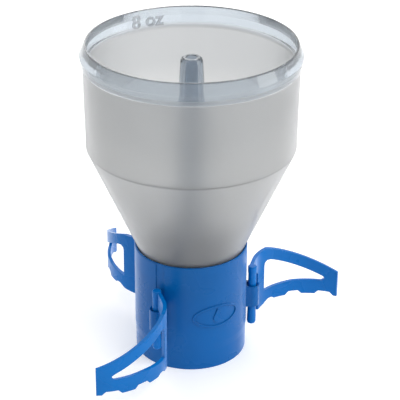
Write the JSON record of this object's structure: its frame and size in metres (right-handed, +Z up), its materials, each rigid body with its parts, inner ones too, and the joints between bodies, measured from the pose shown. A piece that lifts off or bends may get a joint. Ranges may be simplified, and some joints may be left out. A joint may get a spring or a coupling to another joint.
{
  "type": "pour-over cup funnel",
  "caption": "Clear coffee funnel with a central vent tube, plugged into a filter base whose hinged legs swing out to stand on a cup's rim.",
  "frame": {"origin": "centre of the filter base's bottom face, on the funnel's axis", "axes": "+Z up along the funnel's axis, +X through the hinge of leg_a, +Y completing the right hand"},
  "size_m": [0.0973, 0.1075, 0.1237],
  "materials": {
    "hopper_clear": "smoky translucent plastic, frosted wall and polished collar",
    "tube_clear": "smoky clear plastic, polished",
    "plate_clear": "smoky clear plastic",
    "blue_base": "satin moulded plastic",
    "blue_leg": "satin moulded plastic",
    "screen_steel": "fine woven mesh",
    "ring_plastic": "moulded plastic",
    "seal_rubber": "silicone"
  },
  "bodies": {
    "base": {"base_body": "blue_base", "filter_screen": "screen_steel", "retaining_ring": "ring_plastic"},
    "hopper_set": {"hopper": "hopper_clear", "drip_plate": "plate_clear", "vent_tube": "tube_clear", "seal_ring": "seal_rubber"},
    "leg_a": {"leg_a": "blue_leg"},
    "leg_b": {"leg_b": "blue_leg"},
    "leg_c": {"leg_c": "blue_leg"}
  },
  "joints": [
    {"name": "hopper_lift", "type": "slide", "parent": "base", "child": "hopper_set", "axis": [0, 0, 1], "range_m": [0, 0.018]},
    {"name": "leg_a_swing", "type": "hinge", "parent": "base", "child": "leg_a", "pos_m": [0.0234, 0, 0.0215], "axis": [0, 0, 1], "range_deg": [-152.5, 6.5]},
    {"name": "leg_b_swing", "type": "hinge", "parent": "base", "child": "leg_b", "pos_m": [-0.0117, 0.02026, 0.0215], "axis": [0, 0, 1], "range_deg": [-126, 33]},
    {"name": "leg_c_swing", "type": "hinge", "parent": "base", "child": "leg_c", "pos_m": [-0.0117, -0.02026, 0.0215], "axis": [0, 0, 1], "range_deg": [-121.8, 37.2]}
  ]
}
